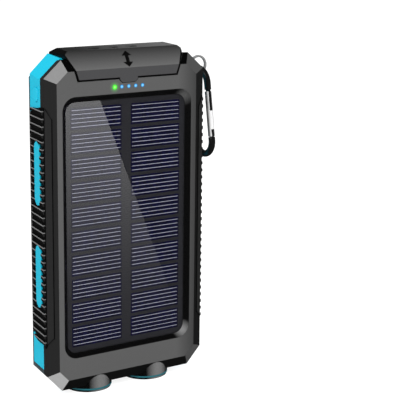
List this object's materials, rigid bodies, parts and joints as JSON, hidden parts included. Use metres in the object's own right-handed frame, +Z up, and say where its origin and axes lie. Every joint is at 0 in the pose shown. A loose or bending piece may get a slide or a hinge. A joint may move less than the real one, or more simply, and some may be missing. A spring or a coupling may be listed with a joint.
{
  "type": "solar phone charger",
  "caption": "Pocket solar power bank with a framed solar panel, ribbed side grips, hinged port cover, lamps in its lower end and a small carabiner on a ring.",
  "frame": {"origin": "midway between the two lamps, on the plane of the lamp bezels that the unit stands on, under the middle of its depth", "axes": "+X to the unit's right as seen from the front, the solar panel faces -Y, +Z up"},
  "size_m": [0.0852, 0.0212, 0.1415],
  "materials": {
    "case_plastic": "fine satin texture",
    "bright_plastic": "satin cyan",
    "grip_rubber": "matt black",
    "cover_rubber": "matt dark grey",
    "bezel_gloss": "polished black",
    "clear_pane": "clear laminate",
    "silicon": "dark blue monocrystalline silicon",
    "panel_backing": "dark laminate",
    "circuit_board": "green solder mask",
    "pouch_foil": "laminated pouch foil",
    "foam": "closed-cell foam",
    "chip_black": "moulded package",
    "plated_steel": "nickel plated",
    "gate_metal": "bright tube",
    "black_anodised": "black anodised",
    "led_body": "phosphor and white body",
    "green_lens": "lit green",
    "blue_lens": "lit blue",
    "clear_lens": "clear lens",
    "reflector": "vacuum plated",
    "wire": "insulated wire",
    "ribbon": "flat ribbon"
  },
  "bodies": {
    "case": {"battery_front": "pouch_foil", "battery_leads": "wire", "battery_rear": "pouch_foil", "battery_tape": "foam", "board_chips": "chip_black", "cell_board": "circuit_board", "front_cover": "case_plastic", "grip_left": "grip_rubber", "grip_right": "grip_rubber", "indicator_leds": "led_body", "lamp_base": "case_plastic", "lamp_bezel_left": "case_plastic", "lamp_bezel_right": "case_plastic", "lamp_board": "circuit_board", "lamp_collar_left": "bright_plastic", "lamp_collar_right": "bright_plastic", "lamp_leads": "wire", "lamp_leds": "led_body", "lamp_lens_left": "clear_lens", "lamp_lens_right": "clear_lens", "lamp_reflector_left": "reflector", "lamp_reflector_right": "reflector", "led_board": "circuit_board", "led_ribbon": "ribbon", "level_light_pipes": "blue_lens", "main_board": "circuit_board", "micro_usb_port": "plated_steel", "middle_frame": "bright_plastic", "panel_bezel": "bezel_gloss", "panel_board": "panel_backing", "panel_foam": "foam", "panel_glass": "clear_pane", "panel_leads": "wire", "power_inductor": "chip_black", "rear_cover": "case_plastic", "rear_foam": "foam", "rear_screws": "plated_steel", "ring_loop": "plated_steel", "solar_cells": "silicon", "status_light_pipe": "green_lens", "switch_body": "chip_black", "usb_insert_left": "chip_black", "usb_insert_right": "chip_black", "usb_shell_left": "plated_steel", "usb_shell_right": "plated_steel"},
    "key": {"side_key": "bright_plastic", "switch_plunger": "chip_black"},
    "cover": {"port_cover": "cover_rubber"},
    "ring": {"split_ring": "plated_steel"},
    "carabiner": {"carabiner_body": "black_anodised"},
    "gate": {"carabiner_gate": "gate_metal", "gate_pin": "plated_steel"}
  },
  "joints": [
    {"name": "cover_hinge", "type": "hinge", "parent": "case", "child": "cover", "pos_m": [0, 0.0064, 0.1383], "axis": [-1, 0, 0], "range_deg": [0, 120]},
    {"name": "key_press", "type": "slide", "parent": "case", "child": "key", "axis": [1, 0, 0], "range_m": [0, 0.0006], "stiffness_N_per_m": 700, "springref_m": -0.0006},
    {"name": "ring_swing", "type": "hinge", "parent": "case", "child": "ring", "pos_m": [0.04045, 0.0039, 0.13135], "axis": [0, -1, 0], "range_deg": [0, 60]},
    {"name": "carabiner_swing", "type": "hinge", "parent": "ring", "child": "carabiner", "pos_m": [0.043, 0.0039, 0.12935], "axis": [0, -1, 0], "range_deg": [-4, 100]},
    {"name": "gate_swing", "type": "hinge", "parent": "carabiner", "child": "gate", "pos_m": [0.043, -0.00347, 0.1188], "axis": [1, 0, 0], "range_deg": [0, 25], "stiffness_Nm_per_rad": 0.02, "springref_deg": -20.05}
  ]
}
